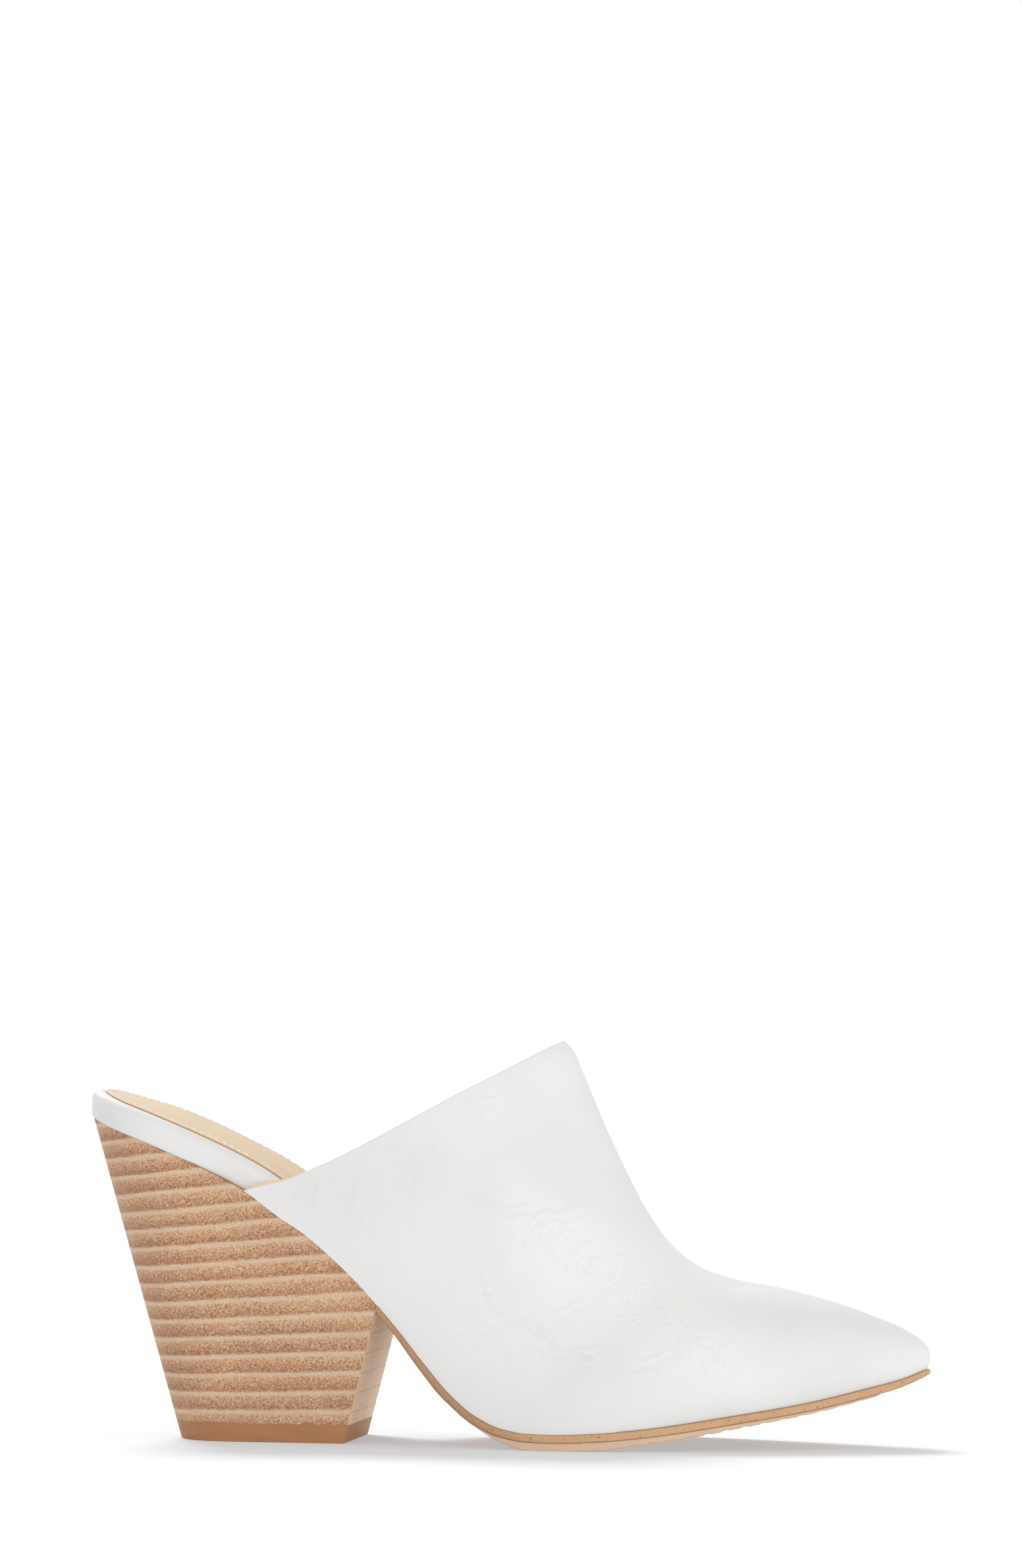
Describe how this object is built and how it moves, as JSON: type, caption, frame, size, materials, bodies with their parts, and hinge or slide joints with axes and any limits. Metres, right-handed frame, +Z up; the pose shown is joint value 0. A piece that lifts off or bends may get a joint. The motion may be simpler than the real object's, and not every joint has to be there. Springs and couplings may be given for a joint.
{
  "type": "mule shoe",
  "caption": "Pointed slip-on mule for the right foot, with a hollow leather upper, an open back, a thin sole and a slanted stacked block heel.",
  "frame": {"origin": "on the floor, under the middle of the shoe's box", "axes": "+X to the toe, +Z up, +Y to the inner side of the foot"},
  "size_m": [0.2358, 0.078, 0.1118],
  "materials": {
    "upper_leather": "smooth white leather with a fine grain and a soft sheen",
    "rim_leather": "smooth white leather wrapped round the board",
    "sock_leather": "smooth tan leather, stitched near its edge",
    "sole_edge": "tan pressed leather edge with fine dark specks",
    "tread_rubber": "pale pinkish matt rubber",
    "stacked_heel": "stacked layers in mottled tan and brown with light lines, satin",
    "lift_rubber": "brown rubber, satin"
  },
  "bodies": {
    "root": {"upper": "upper_leather", "insole_board": "rim_leather", "sock": "sock_leather", "sole": "sole_edge", "tread": "tread_rubber", "heel": "stacked_heel", "top_lift": "lift_rubber"}
  },
  "joints": []
}
